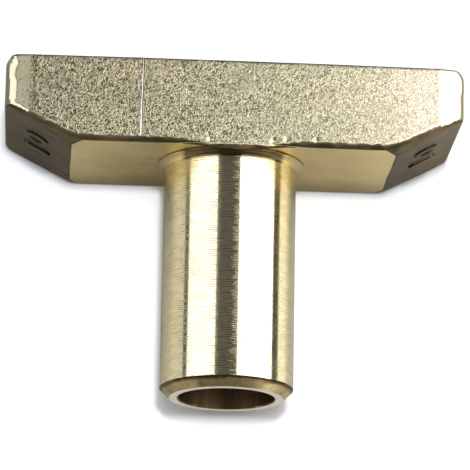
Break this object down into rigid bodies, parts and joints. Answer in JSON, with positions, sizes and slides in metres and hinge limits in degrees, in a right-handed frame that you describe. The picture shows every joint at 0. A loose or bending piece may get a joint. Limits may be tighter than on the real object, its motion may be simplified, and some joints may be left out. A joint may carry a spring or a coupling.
{
  "type": "gas valve key",
  "caption": "T-handle key for a gas valve: forged brass crossbar on a hollow turned brass stem, with a sprung square driver inside the bore.",
  "frame": {"origin": "bottom centre of the bounding box, on the crossbar's back face", "axes": "+X along the crossbar, +Y along the stem towards the crossbar's top, so the mouth faces -Y, +Z out of the broad front face"},
  "size_m": [0.062, 0.0444, 0.022],
  "materials": {
    "forged_brass": "as-forged, shot-blasted",
    "turned_brass": "fine turned",
    "hardened_steel": "hardened and oiled",
    "spring_steel": "phosphated",
    "nickel_plated_magnet": "nickel plated"
  },
  "bodies": {
    "handle": {"crossbar": "forged_brass", "stem": "turned_brass", "lock_pin_left": "hardened_steel", "lock_pin_right": "hardened_steel", "thrust_washer": "hardened_steel", "circlip": "spring_steel", "driver_spring": "spring_steel"},
    "driver": {"driver": "hardened_steel", "magnet": "nickel_plated_magnet"}
  },
  "joints": [
    {"name": "driver_slide", "type": "slide", "parent": "handle", "child": "driver", "axis": [0, 1, 0], "range_m": [0, 0.004], "stiffness_N_per_m": 720, "springref_m": -0.003, "deforming": ["driver_spring"]}
  ]
}
